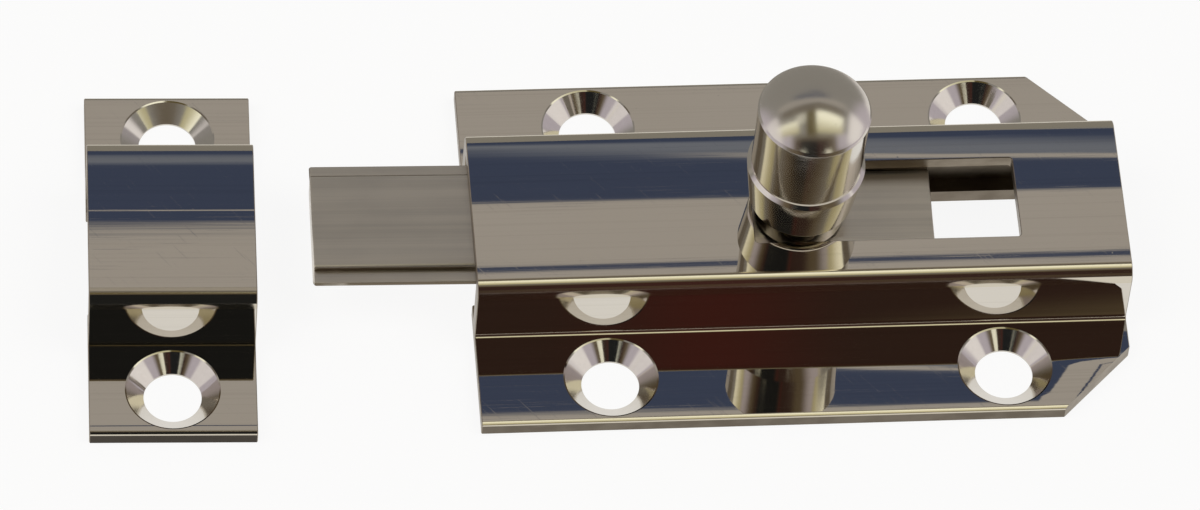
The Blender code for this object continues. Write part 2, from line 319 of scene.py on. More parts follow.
# The rounded edges of the housing and of the flanges are shaded in facets, also chosen to
# match the photo. Each pair is a step along the arc and the turn there, in degrees.
CASE_FORM = {
    "top": case_top_lean,
    "flange": case_flange_lean,
    "front edge": (
        (0, 0), (1, 7), (2, 13), (4, 27), (5, 31), (7, 40), (7, 54), (9, 60), (9, 80), (14, 90),
    ),
    "flange edge": ((0, 0), (2, 13), (9, 27), (10, 60), (10, 80), (14, 90)),
    "back edge": ((0, 0), (6, 24), (6, 27), (14, 90)),
    "foot": 1.0,
    # How dark the front edge faces are painted: a painted dark reflection.
    "front_painted_shade": 0.45,
}


def edge_lean(side, turned, middle, flat_lean, facets):
    """Lean on a rounded edge, which starts at the flat's own lean and ends upright."""
    step = 90 / ARC_STEPS
    for (from_step, from_turn), (to_step, to_turn) in zip(facets, facets[1:]):
        if from_step * step <= middle < to_step * step:
            share = (turned / step - from_step) / (to_step - from_step)
            turned = from_turn + (to_turn - from_turn) * min(1.0, max(0.0, share))
            break
    start = -side * flat_lean
    return -side * (start + turned * (1 - start / 90))


def turn_at(away, up):
    """How far round an edge a point is, in degrees from the flat to the upright."""
    return math.degrees(math.atan2(max(0.0, away), max(1e-9, up)))


def section_direction(face, point, form):
    """The part of the section a face is on, and the direction it is shaded with at a point."""
    outward = face.normal
    centre = face.center
    half_housing = HOUSING_WIDTH / 2
    half_plate = PLATE_WIDTH / 2
    close = 1e-5
    across = abs(centre.y)
    side = math.copysign(1, centre.y)
    top_flat = half_housing - HOUSING_EDGE_RADIUS
    flange_flat = half_plate - PLATE_EDGE_RADIUS
    if abs(outward.x) > 0.5:
        return "unpolished", outward
    if across < half_housing - SIDE_WALL + close and centre.z < HOUSING_HEIGHT - TOP_WALL + close:
        return "channel", outward
    if outward.z < -0.01:
        return "unpolished", outward
    if centre.z > HOUSING_HEIGHT - HOUSING_EDGE_RADIUS:
        if across < top_flat:
            part, lean = "flat", form["top"](point.x, point.y)
        else:
            low = HOUSING_HEIGHT - HOUSING_EDGE_RADIUS
            turned = turn_at(abs(point.y) - top_flat, point.z - low)
            middle = turn_at(across - top_flat, centre.z - low)
            flat_lean = form["top"](point.x, side * top_flat)
            facets = form["front edge" if side < 0 else "back edge"]
            part, lean = "edge", edge_lean(side, turned, middle, flat_lean, facets)
    elif centre.z > PLATE_THICKNESS and across < half_housing + JUNCTION_RADIUS:
        if across < half_housing + close:
            return "flat", outward
        foot_edge = half_housing + JUNCTION_RADIUS
        foot_top = PLATE_THICKNESS + JUNCTION_RADIUS
        turned = turn_at(foot_edge - abs(point.y), foot_top - point.z)
        middle = turn_at(foot_edge - across, foot_top - centre.z)
        hard = 0 if middle < 45 else 90
        part, lean = "foot", -side * (hard + (turned - hard) * form["foot"])
    elif centre.z > PLATE_THICKNESS - PLATE_EDGE_RADIUS:
        if across < flange_flat:
            part, lean = "flat", form["flange"](point.x, point.y)
        else:
            low = PLATE_THICKNESS - PLATE_EDGE_RADIUS
            turned = turn_at(abs(point.y) - flange_flat, point.z - low)
            middle = turn_at(across - flange_flat, centre.z - low)
            flat_lean = form["flange"](point.x, side * flange_flat)
            facets = form["flange edge" if side < 0 else "back edge"]
            part, lean = "edge", edge_lean(side, turned, middle, flat_lean, facets)
    else:
        return "front" if side < 0 else "unpolished", outward
    angle = math.radians(lean)
    return part, Vector((0, -math.sin(angle), math.cos(angle)))


def hole_direction(face, point, x, y, lean):
    """The direction of a drilled or countersunk surface at a point, leaning up by some degrees."""
    away = Vector((point.x - x, point.y - y)).normalized()
    angle = math.acos(max(-1.0, min(1.0, face.normal.z))) - math.radians(lean)
    return Vector((-away.x * math.sin(angle), -away.y * math.sin(angle), math.cos(angle)))


def polish(piece, holes, form):
    """Shades an extruded piece by the leans of its form; marks its rubbed, cut and dull faces and
    painted shade.
    """
    mesh = piece.data
    directions = []
    # Rubbing on the polished edges and foot; on the front edge faces and in the channel the value is
    # painted shade.
    wear_and_shade = {"edge": 1.0, "foot": 1.0, "front": form["front_painted_shade"], "channel": CHANNEL_PAINTED_SHADE}
    turning = mesh.attributes.new("turning_radius", "FLOAT", "CORNER")
    wear_and_painted_shade = mesh.attributes.new("wear_and_painted_shade", "FLOAT", "CORNER")
    reach = COUNTERSINK_RADIUS + 2 * RIM_BEVEL + RIM_MARGIN
    for face in mesh.polygons:
        face.use_smooth = True
        cut = face.material_index == MACHINED_FINISH
        near = [
            (x, y, lean) for x, y, lean in holes
            if math.hypot(face.center.x - x, face.center.y - y) < reach
        ]
        for corner in face.loop_indices:
            point = mesh.vertices[mesh.loops[corner].vertex_index].co
            if cut and near:
                x, y, lean = near[0]
                directions.append(hole_direction(face, point, x, y, lean))
                turning.data[corner].value = math.hypot(point.x - x, point.y - y)
                continue
            part, direction = section_direction(face, point, form)
            directions.append(face.normal if cut else direction)
            wear_and_painted_shade.data[corner].value = wear_and_shade.get(part, 0.0)
            if cut or part in ("unpolished", "front", "channel"):
                face.material_index = UNPOLISHED_FINISH
    mesh.normals_split_custom_set(directions)


class Wire:
    """A value or colour in a shader. Sums and products on it add the nodes that work them out."""

    def __init__(self, tree, socket=None):
        self.tree = tree
        self.socket = socket

    def node(self, kind, settings=(), inputs=(), output=0):
        """Adds a node of any type: its settings first, then the values or links of its sockets."""
        made = self.tree.nodes.new(kind)
        for name, value in dict(settings).items():
            setattr(made, name, value)
        for name, value in dict(inputs).items():
            if isinstance(value, Wire):
                self.tree.links.new(value.socket, made.inputs[name])
            else:
                made.inputs[name].default_value = value
        return Wire(self.tree, made.outputs[output] if made.outputs else None)

    def beside(self, output):
        """Another output of the node that this value comes from."""
        return Wire(self.tree, self.socket.node.outputs[output])

    def worked(self, operation, first, second):
        """A Math node between numbers, or a Vector Math node as soon as one side is a vector."""
        sides = [side.socket.type if isinstance(side, Wire) else type(side) for side in (first, second)]
        if "VECTOR" in sides or tuple in sides:
            first, second = (
                (side,) * 3 if isinstance(side, (int, float)) else side for side in (first, second)
            )
            inputs = {0: first, 1: second}
            return self.node("ShaderNodeVectorMath", {"operation": operation}, inputs)
        return self.node("ShaderNodeMath", {"operation": operation}, {0: first, 1: second})

    def __add__(self, other):
        return self.worked("ADD", self, other)

    def __radd__(self, other):
        return self.worked("ADD", other, self)

    def __sub__(self, other):
        return self.worked("SUBTRACT", self, other)

    def __rsub__(self, other):
        return self.worked("SUBTRACT", other, self)

    def __mul__(self, other):
        return self.worked("MULTIPLY", self, other)

    def __rmul__(self, other):
        return self.worked("MULTIPLY", other, self)

    def rise(self, low, high):
        """Goes smoothly from 0 at low to 1 at high, or falls from 1 where high is the lower."""
        if high < low:
            return 1 - self.rise(high, low)
        inputs = {"Value": self, "From Min": low, "From Max": high}
        return self.node("ShaderNodeMapRange", {"interpolation_type": "SMOOTHSTEP"}, inputs)

    def within(self, low, high, soft):
        """1 between low and high, with soft edges."""
        return self.rise(low - soft, low + soft) * self.rise(high + soft, high - soft)

    def blend(self, first, second):
        """Goes from one colour to another as this value goes from 0 to 1."""
        return self.node("ShaderNodeMix", {"data_type": "RGBA"}, {0: self, 6: first, 7: second}, 2)

    def noise(self, scale, detail=2.0, roughness=0.5):
        """Cloudy variation from 0 to 1 at this place, scale being a number or one for each axis."""
        inputs = {"Vector": self * scale, "Scale": 1.0, "Detail": detail, "Roughness": roughness}
        return self.node("ShaderNodeTexNoise", {}, inputs)


def bare_metal(name):
    """A new metal, the start of its wiring and the shader that finishes it."""
    material = bpy.data.materials.new(name)
    material.use_nodes = True
    shader = material.node_tree.nodes["Principled BSDF"]
    shader.inputs["Metallic"].default_value = 1.0
    return material, Wire(material.node_tree), shader


def finish_metal(shader, colour, roughness, height, depth):
    """Sets a metal's colour, roughness and the relief of its surface, depth in metres."""
    normal = colour.node("ShaderNodeBump", {}, {"Height": height, "Distance": depth, "Strength": 1.0})
    for name, wire in (("Base Color", colour), ("Roughness", roughness), ("Normal", normal)):
        colour.tree.links.new(wire.socket, shader.inputs[name])


def polished_nickel():
    """Mirror nickel: faint lines left along the drawn section, hairline scratches and pits."""
    material, wires, shader = bare_metal("mirror_nickel")
    place = wires.node("ShaderNodeTexCoord", output="Object")
    drawn_lines = place.noise((30.0, 2600.0, 2600.0), 3.0)
    long_waves = place.noise((25.0, 500.0, 500.0), 1.0)
    hairlines = place.noise((90.0, 9000.0, 9000.0), 2.0).rise(0.64, 0.70)
    turn = {"Vector": place, "Angle": SCUFF_ANGLE}
    slanted = place.node("ShaderNodeVectorRotate", {"rotation_type": "Z_AXIS"}, turn)
    scuffs = slanted.noise((250.0, 11000.0, 11000.0), 1.0).rise(0.70, 0.74)
    pits = place.noise((1900.0, 1900.0, 1900.0), 1.0).rise(0.80, 0.86)
    cloud = place.noise((140.0, 220.0, 220.0), 3.0)
    streaks = place.noise((12.0, 4200.0, 4200.0), 3.0, 0.6).rise(0.48, 0.74)
    rubbed = place.node("ShaderNodeAttribute", {"attribute_name": "wear_and_painted_shade"}, {}, 2)
    plate = streaks.blend(cloud.blend(NICKEL_WARM, NICKEL), NICKEL_STREAK)
    colour = (rubbed * 0.7).blend(plate, NICKEL_RUBBED)
    roughness = 0.012 + cloud * 0.012 + hairlines * 0.04 + scuffs * 0.05 + pits * 0.10 + rubbed * 0.07
    height = drawn_lines * 0.5 + long_waves * 1.2 - hairlines * 0.06 - scuffs * 0.05 - pits * 0.3
    finish_metal(shader, colour, roughness, height, 4e-7)
    return material


def machined_nickel():
    """Plated cut faces: rings left by the countersink, and the finer grain of the saw and mill."""
    material, wires, shader = bare_metal("machined_nickel")
    place = wires.node("ShaderNodeTexCoord", output="Object")
    radius = wires.node("ShaderNodeAttribute", {"attribute_name": "turning_radius"}, {}, 2)
    rings = radius.noise(16000.0, 3.0)
    grain = place.noise((3000.0, 3000.0, 1200.0), 3.0)
    colour = grain.blend(NICKEL_DULL, NICKEL)
    roughness = 0.05 + grain * 0.07
    finish_metal(shader, colour, roughness, rings * 0.7 + grain * 0.5, 7e-7)
    return material


def unpolished_nickel():
    """Plate the wheel doesn't reach: channel, sawn ends, outer edges; painted shade in the channel and
    front.
    """
    material, wires, shader = bare_metal("unpolished_nickel")
    place = wires.node("ShaderNodeTexCoord", output="Object")
    drawn_lines = place.noise((120.0, 5200.0, 5200.0), 3.0)
    stains = place.noise((420.0, 700.0, 700.0), 4.0)
    # This value is painted shade: near-black laid on the front edge faces as a dark reflection and
    # inside the channel as its shade.
    painted_shade = place.node("ShaderNodeAttribute", {"attribute_name": "wear_and_painted_shade"}, {}, 2)
    drawn = stains.rise(0.35, 0.65).blend(NICKEL_DRAWN_DARK, NICKEL_DRAWN)
    colour = painted_shade.blend(drawn, NICKEL_PAINTED_SHADE)
    roughness = 0.28 + drawn_lines * 0.10 + stains * 0.06
    finish_metal(shader, colour, roughness, drawn_lines + stains * 0.4, 1.2e-6)
    return material


nickel_finishes = [polished_nickel(), machined_nickel(), unpolished_nickel()]
case_low, case_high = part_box("case")
slot_right = case_high.x - SLOT_END_MARGIN
hole_y = PLATE_WIDTH / 2 - HOLE_EDGE_INSET
case_holes = [
    (x, side * hole_y, HOLE_LEAN)
    for x in (case_low.x + LEFT_HOLE_INSET, case_high.x - RIGHT_HOLE_INSET)
    for side in (-1, 1)
]
case_shell = extruded_section("case_shell", case_low.x, case_high.x, nickel_finishes)
cutters = [hole_cutter(x, y, nickel_finishes) for x, y, lean in case_holes]
cutters += [corner_cutter(case_high.x, side, nickel_finishes) for side in (-1, 1)]
cutters.append(slot_cutter(slot_right - SLOT_LENGTH, slot_right, nickel_finishes))
cut_out(case_shell, cutters)
polish(case_shell, case_holes, CASE_FORM)
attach(case_shell, "case")
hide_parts("case")


# The keeper is a short length of the same plated extrusion with one countersunk hole in
# each flange. It is screwed to the frame, and the thrown bar runs into its channel.

KEEPER_TURN = math.radians(-1.7)
KEEPER_TOP = (
    (-0.00755, -0.10), (-0.0003, -0.085), (0.0003, -0.30), (0.0036, -0.55), (0.0050, -0.90),
    (0.0056, -1.35), (0.0060, -1.60), (0.0062, -2.0), (0.00755, -2.0),
)
KEEPER_GROOVES = (
    (-0.01505, 0.00018, -0.9), (0.0132, 0.0002, -0.2),
    (0.0150, 0.0002, -0.2), (0.00082, 0.00018, 0.45),
)
KEEPER_BACK_FLANGE_LEAN = 0.55
KEEPER_BACK_HOLE_LEAN = 8.0


def between_marks(marks, place):
    """A value read off straight lines between marks of (place, value)."""
    for (from_place, from_value), (to_place, to_value) in zip(marks, marks[1:]):
        if place <= to_place:
            return from_value + (to_value - from_value) * (place - from_place) / (to_place - from_place)
    return marks[-1][1]


def groove_lean(y):
    """The lean that fine die lines in the section add, each a place, half a width and a depth."""
    return sum(depth * max(0.0, 1 - abs(y - middle) / half) for middle, half, depth in KEEPER_GROOVES)


def keeper_top_lean(x, y):
    """Lean of the keeper's housing, level at the front and falling away along its back edge."""
    return between_marks(KEEPER_TOP, y) + groove_lean(y)


def keeper_flange_lean(x, y):
    """Lean of the keeper's flanges, which are flat but for their die lines."""
    return (0.0 if y < 0 else KEEPER_BACK_FLANGE_LEAN) + groove_lean(y)


KEEPER_FORM = {
    "top": keeper_top_lean,
    "flange": keeper_flange_lean,
    "front edge": ((0, 0), (3, 7), (4, 30), (10, 60), (10, 80), (14, 90)),
    "flange edge": ((0, 0), (3, 7), (4, 30), (10, 60), (10, 80), (14, 90)),
    "back edge": ((0, 0), (6, 24), (6, 27), (14, 90)),
    "foot": 0.0,
    # How dark the front edge faces are painted: a painted dark reflection.
    "front_painted_shade": 0.9,
}

keeper_low, keeper_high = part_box("keeper")
keeper_middle = (keeper_low.x + keeper_high.x) / 2
keeper_holes = [
    (keeper_middle, -hole_y, HOLE_LEAN),
    (keeper_middle, hole_y, KEEPER_BACK_HOLE_LEAN),
]
keeper_shell = extruded_section("keeper_shell", keeper_low.x, keeper_high.x, nickel_finishes)
cut_out(keeper_shell, [hole_cutter(x, y, nickel_finishes) for x, y, lean in keeper_holes])
polish(keeper_shell, keeper_holes, KEEPER_FORM)
keeper_place = Matrix.Translation((keeper_middle, 0, 0))
keeper_shell.matrix_world = keeper_place @ Matrix.Rotation(KEEPER_TURN, 4, "Z") @ keeper_place.inverted()
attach(keeper_shell, "case")
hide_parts("keeper")


# The sliding bar is a drawn bar with a thin rib along each side, which the lips of the
# case keep in. Its plating is satin, with fine lines along its length, and both ends are
# sawn square. It is riveted to the knob's spigot and slides with it.

BAR_CORE_WIDTH = 0.0087
BAR_RIB_WIDTH = 0.0109
BAR_STEP = 0.0005
BAR_RIB_THICKNESS = 0.0004
BAR_EDGE_RADIUS = 0.00025
RIB_EDGE_RADIUS = 0.00006
BAR_END_BEVEL = 0.00015
BAR_BEVEL_SHARE = 0.3
BAR_ARC_STEPS = 8
BAR_SECTION_STEP = 0.001
SPIGOT_HOLE_RADIUS = 0.0020
KNOB_X = slot_right - SLOT_LENGTH + SLOT_WIDTH / 2

SATIN = (0.735, 0.680, 0.590, 1.0)
SATIN_DARK = (0.600, 0.555, 0.485, 1.0)
# Painted shade: the dark brown laid along the bar's steps and over its back rounding.
SATIN_PAINTED_SHADE = (0.150, 0.120, 0.080, 1.0)
SATIN_BURNISHED = (0.66, 0.61, 0.44, 1.0)
BURNISHED_LEAN = math.radians(19)
BURNISH_FROM = 0.1
# How upright a face at the bar's edge must be to get the painted shade, front and back.
FRONT_SHADE_FROM = 0.8
BACK_SHADE_FROM = 0.2
BAR_TURN = math.radians(-1.1)
BAR_TURN_PLACE = (0.0013, 0.0, 0.0)


def satin_nickel():
    """Satin plate: long fine lines along the bar, painted shade along its steps, a burnished front edge.
    """
    material, wires, shader = bare_metal("satin_plate")
    place = wires.node("ShaderNodeTexCoord", output="Object")
    fine_lines = place.noise((60.0, 14000.0, 14000.0), 3.0, 0.6)
    broad_lines = place.noise((18.0, 1500.0, 1500.0), 2.0)
    deep_lines = place.noise((40.0, 7000.0, 7000.0), 1.0).rise(0.62, 0.72)
    patches = place.noise((260.0, 420.0, 420.0), 3.0)
    shade = broad_lines * 0.5 + fine_lines * 0.3 + patches * 0.2
    steps = place.node("ShaderNodeAttribute", {"attribute_name": "painted_step_shade"}, {}, 2)
    # Painted shade along the steps, in patches.
    painted_shade_share = steps * patches.rise(0.10, 0.45)
    plate = shade.rise(0.30, 0.70).blend(SATIN_DARK, SATIN)
    colour = painted_shade_share.blend(plate, SATIN_PAINTED_SHADE)
    edge = place.node("ShaderNodeAttribute", {"attribute_name": "burnish"}, {}, 2)
    edge = edge * place.noise((1100.0, 1500.0, 1500.0), 3.0).rise(0.38, 0.56)
    colour = edge.blend(colour, SATIN_BURNISHED)
    roughness = 0.24 + fine_lines * 0.10 + patches * 0.05 + deep_lines * 0.06 - edge * 0.06
    height = fine_lines + broad_lines * 1.5 - deep_lines * 0.8
    finish_metal(shader, colour, roughness, height, 1.2e-6)
    return material


def soften(piece, sharp_from):
    """Shades a piece smooth, with its real edges kept sharp."""
    piece.data.shade_smooth()
    piece.data.set_sharp_from_angle(angle=math.radians(sharp_from))


def round_cutter(x, radius, bottom, top, materials):
    """A plain drill for a hole along Z."""
    rings = [
        [(x + radius * math.cos(angle), radius * math.sin(angle), height)
         for angle in (2 * math.pi * step / HOLE_STEPS for step in range(HOLE_STEPS))]
        for height in (bottom, top)
    ]
    return skinned("drill", rings, materials)


bar_low, bar_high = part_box("slide_bar")
rib_top = bar_high.z - BAR_STEP
rib_bottom = rib_top - BAR_RIB_THICKNESS
bar_outline = finely_stepped(rounded(mirrored([
    (BAR_CORE_WIDTH / 2, bar_high.z, BAR_EDGE_RADIUS),
    (BAR_CORE_WIDTH / 2, rib_top, 0),
    (BAR_RIB_WIDTH / 2, rib_top, RIB_EDGE_RADIUS),
    (BAR_RIB_WIDTH / 2, rib_bottom, RIB_EDGE_RADIUS),
    (BAR_CORE_WIDTH / 2, rib_bottom, 0),
    (BAR_CORE_WIDTH / 2, bar_low.z, BAR_EDGE_RADIUS),
]), BAR_ARC_STEPS), BAR_SECTION_STEP)
bar_rings = []
for x, depth in (
    (bar_low.x, BAR_END_BEVEL),
    (bar_low.x + BAR_END_BEVEL * BAR_BEVEL_SHARE, BAR_END_BEVEL * BAR_BEVEL_SHARE),
    (bar_low.x + BAR_END_BEVEL, 0),
    (bar_high.x - BAR_END_BEVEL, 0),
    (bar_high.x - BAR_END_BEVEL * BAR_BEVEL_SHARE, BAR_END_BEVEL * BAR_BEVEL_SHARE),
    (bar_high.x, BAR_END_BEVEL),
):
    bar_rings.append([(x, point.x, point.y) for point in drawn_in(bar_outline, depth)])
satin_finishes = [satin_nickel()]
bolt_bar = skinned("bolt_bar", bar_rings, satin_finishes)
drill_foot, drill_top = bar_low.z - CUT_MARGIN, bar_high.z + CUT_MARGIN
cut_out(bolt_bar, [round_cutter(KNOB_X, SPIGOT_HOLE_RADIUS, drill_foot, drill_top, satin_finishes)])
soften(bolt_bar, sharp_from=25)
# Faces along the bar's steps and back rounding get painted shade; the front rounding gets the burnish.
painted_step_shade = bolt_bar.data.attributes.new("painted_step_shade", "FLOAT", "FACE")
burnish = bolt_bar.data.attributes.new("burnish", "FLOAT", "FACE")
for face in bolt_bar.data.polygons:
    at_edge = abs(face.center.y) > BAR_CORE_WIDTH / 2 - BAR_EDGE_RADIUS
    in_front = face.center.y < 0
    shade_from = FRONT_SHADE_FROM if in_front else BACK_SHADE_FROM
    on_rounding = face.normal.z > 0 and BURNISH_FROM < -face.normal.y < FRONT_SHADE_FROM
    painted_step_shade.data[face.index].value = at_edge and abs(face.normal.y) > shade_from
    burnish.data[face.index].value = at_edge and in_front and on_rounding
bar_directions = [corner.vector.copy() for corner in bolt_bar.data.corner_normals]
for face in bolt_bar.data.polygons:
    if burnish.data[face.index].value:
        for corner in face.loop_indices:
            bar_directions[corner] = Vector((0, -math.sin(BURNISHED_LEAN), math.cos(BURNISHED_LEAN)))
bolt_bar.data.normals_split_custom_set(bar_directions)
bar_place = Matrix.Translation(BAR_TURN_PLACE)
bolt_bar.matrix_world = bar_place @ Matrix.Rotation(BAR_TURN, 4, "Z") @ bar_place.inverted()
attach(bolt_bar, "bolt")
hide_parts("slide_bar")


# The knob is turned from one brass rod and nickel plated: a domed top, a plain barrel, a
# narrow bevel, a collar that draws in towards its foot, the stem that runs in the slot,
# and the spigot that is riveted over under the bar.

BARREL_RADIUS = 0.00430
BARREL_HEIGHT = 0.0062
SHOULDER_ROUNDING = 0.0006
SHOULDER_DROP = 0.00006
DOME_RADIUS = 0.0062
LIP_ROUNDING = 0.0003
LIP_TURN = math.radians(62)
BARREL_WAIST = 0.00007
BARREL_WAIST_LINE = ((0.25, 0.0007), (0.6, 0.0016), (1.0, 0.0030))
CREASE = math.radians(20)
KNOB_LEAN = 0.020
COLLAR_RADIUS = 0.00450
COLLAR_FOOT_RADIUS = 0.00400
COLLAR_HEIGHT = 0.0042
COLLAR_BEVEL = 0.0003
COLLAR_FOOT_ROUNDING = 0.0004
STEM_RADIUS = 0.0034
SPIGOT_RADIUS = 0.0017
RIVET_HEAD_RADIUS = 0.0027
RIVET_HEAD_HEIGHT = 0.0005
KNOB_CLEARANCE = 0.0008
SEAT_GAP = 0.0003
SPRING_THICKNESS = 0.00035
TURNED_STEPS = 160
DOME_STEPS = 36
DOME_FOOT = 0.0185
SHOULDER_STEPS = 20
EDGE_STEPS = 10
RIVET_STEPS = 8


def turned_nickel():
    """Plated turned brass: fine rings round the axis under a soft polish."""
    material, wires, shader = bare_metal("turned_nickel")
    place = wires.node("ShaderNodeTexCoord", output="Object")
    centred = place - (KNOB_X, 0.0, 0.0)
    flat = centred * (1.0, 1.0, 0.0)
    radius = flat.node("ShaderNodeVectorMath", {"operation": "LENGTH"}, {0: flat}, 1)
    height = centred.node("ShaderNodeSeparateXYZ", {}, {0: centred}, 2)
    rings = (radius + height * 1.3).noise(9000.0, 3.0)
    smears = place.noise((320.0, 320.0, 900.0), 3.0)
    marks = place.noise((1500.0, 1500.0, 5200.0), 2.0).rise(0.68, 0.74)
    colour = smears.blend(NICKEL_WARM, NICKEL)
    dome = height.rise(DOME_FOOT - 0.0002, DOME_FOOT + 0.0003)
    roughness = 0.07 + smears * 0.06 + marks * 0.06 + dome * 0.09
    finish_metal(shader, colour, roughness, rings * 1.6 + smears * 0.8 - marks * 0.2, 9e-7)
    return material


def turned(name, profile, x, material):
    """A closed turned body from a profile of (radius, height), both ends on the axis."""
    top, foot = profile[0][1], profile[-1][1]
    points = [(x + KNOB_LEAN * (top - HOUSING_HEIGHT), 0, top), (x, 0, foot)]
    inner = profile[1:-1]
    for radius, height in inner:
        for step in range(TURNED_STEPS):
            angle = 2 * math.pi * step / TURNED_STEPS
            leaned = x + KNOB_LEAN * max(0.0, height - HOUSING_HEIGHT)
            points.append((leaned + radius * math.cos(angle), radius * math.sin(angle), height))
    faces = []
    for step in range(TURNED_STEPS):
        following = (step + 1) % TURNED_STEPS
        last = 2 + (len(inner) - 1) * TURNED_STEPS
        faces.append((0, 2 + step, 2 + following))
        faces.append((1, last + following, last + step))
        for ring in range(len(inner) - 1):
            high, low = 2 + ring * TURNED_STEPS, 2 + (ring + 1) * TURNED_STEPS
            faces.append((high + step, low + step, low + following, high + following))
    return closed_body(name, points, faces, [material])


# How the knob is shaded, in degrees. As on the case, these turns are chosen to bring
# the reflections to their places in the photo, and the knob itself is turned true.
DOME_LIMIT = 45
DOME_SWELL = 2.3
DOME_SWELL_END = 24
DOME_BACK_GAIN = 0.45
LIP_LIMIT = 85
LIP_LEAST_TILT = 22.0
LIP_TILT_RANGE = 33.0
BARREL_LIMIT = 93
BARREL_TILT = 92.2
COLLAR_LIMIT = 110
COLLAR_TILT = 92.5
COLLAR_ROUND_GAIN = 1.5
OUT_OF_ROUND = ((-105, 0), (-90, 11), (-40, 12), (-15, 9), (5, 5), (30, 0))


def out_of_true(tilt, around):
    """The tilt from upright and the place around the axis that the knob is shaded with at a
    point, both in degrees, the second from the front towards the right."""
    forward = math.cos(math.radians(around))
    if tilt < DOME_LIMIT:
        if forward > 0:
            tilt += DOME_SWELL * forward * math.sin(math.pi * min(1.0, tilt / DOME_SWELL_END))
        else:
            tilt *= 1 + DOME_BACK_GAIN * forward
    elif tilt < LIP_LIMIT:
        share = min(1.0, max(0.0, forward / 0.4 - 0.3))
        tilt = min(tilt, LIP_LEAST_TILT + LIP_TILT_RANGE * share)
    elif tilt < COLLAR_LIMIT:
        on_barrel = tilt < BARREL_LIMIT
        tilt = BARREL_TILT if on_barrel else tilt + (COLLAR_TILT - tilt) * max(0.0, forward) ** 0.5
        if OUT_OF_ROUND[0][0] < around < OUT_OF_ROUND[-1][0]:
            around += between_marks(OUT_OF_ROUND, around) * (1.0 if on_barrel else COLLAR_ROUND_GAIN)
    return tilt, around


def profile_row(vertex, last_row):
    """The row of the profile that a vertex of a turned body is on, its first two being the ends."""
    if vertex < 2:
        return vertex * last_row
    return 1 + (vertex - 2) // TURNED_STEPS


def shade_turned(piece, profile):
    """Shades a turned piece by its profile, with the edges between its runs kept sharp."""
    slopes = [math.atan2(high[1] - low[1], low[0] - high[0]) for high, low in zip(profile, profile[1:])]
    ends = [[slope, slope] for slope in slopes]
    ends[0][0] = 0.0
    for i in range(1, len(slopes)):
        if abs(slopes[i] - slopes[i - 1]) < CREASE:
            ends[i - 1][1] = ends[i][0] = (slopes[i] + slopes[i - 1]) / 2
    mesh = piece.data
    mesh.shade_smooth()
    directions = []
    for face in mesh.polygons:
        rows = [profile_row(v, len(profile) - 1) for v in face.vertices]
        run = min(rows)
        for v, row in zip(face.vertices, rows):
            place = mesh.vertices[v].co if v > 1 else face.center
            leaned = KNOB_X + KNOB_LEAN * max(0.0, place.z - HOUSING_HEIGHT)
            around = math.degrees(math.atan2(place.x - leaned, -place.y))
            tilt, around = out_of_true(math.degrees(ends[run][row - run]), around)
            tilt, around = math.radians(tilt), math.radians(around)
            flat = math.sin(tilt)
            directions.append((flat * math.sin(around), -flat * math.cos(around), math.cos(tilt)))
    mesh.normals_split_custom_set(directions)


def knob_profile(bar_top, bar_bottom):
    """Half outline of the knob, from the top of its dome down to its riveted end."""
    collar_foot = HOUSING_HEIGHT + KNOB_CLEARANCE
    collar_top = collar_foot + COLLAR_HEIGHT
    barrel_foot = collar_top + COLLAR_BEVEL
    shoulder = barrel_foot + BARREL_HEIGHT - SHOULDER_DROP
    lip_reach = (SHOULDER_ROUNDING - LIP_ROUNDING) * (1 - math.sin(LIP_TURN))
    rounding_centre = BARREL_RADIUS - SHOULDER_ROUNDING + lip_reach
    spread = math.asin(rounding_centre / (DOME_RADIUS - SHOULDER_ROUNDING))
    dome_centre = shoulder - (DOME_RADIUS - SHOULDER_ROUNDING) * math.cos(spread)
    meeting = math.pi / 2 - spread
    foot_centre = (COLLAR_FOOT_RADIUS - COLLAR_FOOT_ROUNDING, collar_foot + COLLAR_FOOT_ROUNDING)
    rivet_top = bar_bottom - SEAT_GAP - SPRING_THICKNESS - SEAT_GAP
    rivet_foot = rivet_top - RIVET_HEAD_HEIGHT
    profile = arc((0, dome_centre), DOME_RADIUS, math.pi / 2, meeting, DOME_STEPS)[:-1]
    lip_start = math.pi / 2 - LIP_TURN
    shoulder_centre = (rounding_centre, shoulder)
    profile += arc(shoulder_centre, SHOULDER_ROUNDING, meeting, lip_start, SHOULDER_STEPS)[:-1]
    lip_drop = (SHOULDER_ROUNDING - LIP_ROUNDING) * math.cos(LIP_TURN)
    lip_centre = (BARREL_RADIUS - LIP_ROUNDING, shoulder + lip_drop)
    profile += arc(lip_centre, LIP_ROUNDING, lip_start, 0, EDGE_STEPS)
    profile += [
        (BARREL_RADIUS - BARREL_WAIST * share, lip_centre[1] - drop)
        for share, drop in BARREL_WAIST_LINE
    ]
    profile += [
        (BARREL_RADIUS - BARREL_WAIST, barrel_foot),
        (COLLAR_RADIUS, barrel_foot - (COLLAR_RADIUS - BARREL_RADIUS + BARREL_WAIST)),
    ]
    profile += arc(foot_centre, COLLAR_FOOT_ROUNDING, 0, -math.pi / 2, EDGE_STEPS)
    profile += [
        (STEM_RADIUS, collar_foot),
        (STEM_RADIUS, bar_top + SEAT_GAP),
        (SPIGOT_RADIUS, bar_top + SEAT_GAP),
        (SPIGOT_RADIUS, rivet_top),
        (RIVET_HEAD_RADIUS, rivet_top),
    ]
    rivet_centre = (RIVET_HEAD_RADIUS - RIVET_HEAD_HEIGHT, rivet_top)
    profile += arc(rivet_centre, RIVET_HEAD_HEIGHT, 0, -math.pi / 2, RIVET_STEPS)[1:]
    profile.append((0, rivet_foot))
    return profile


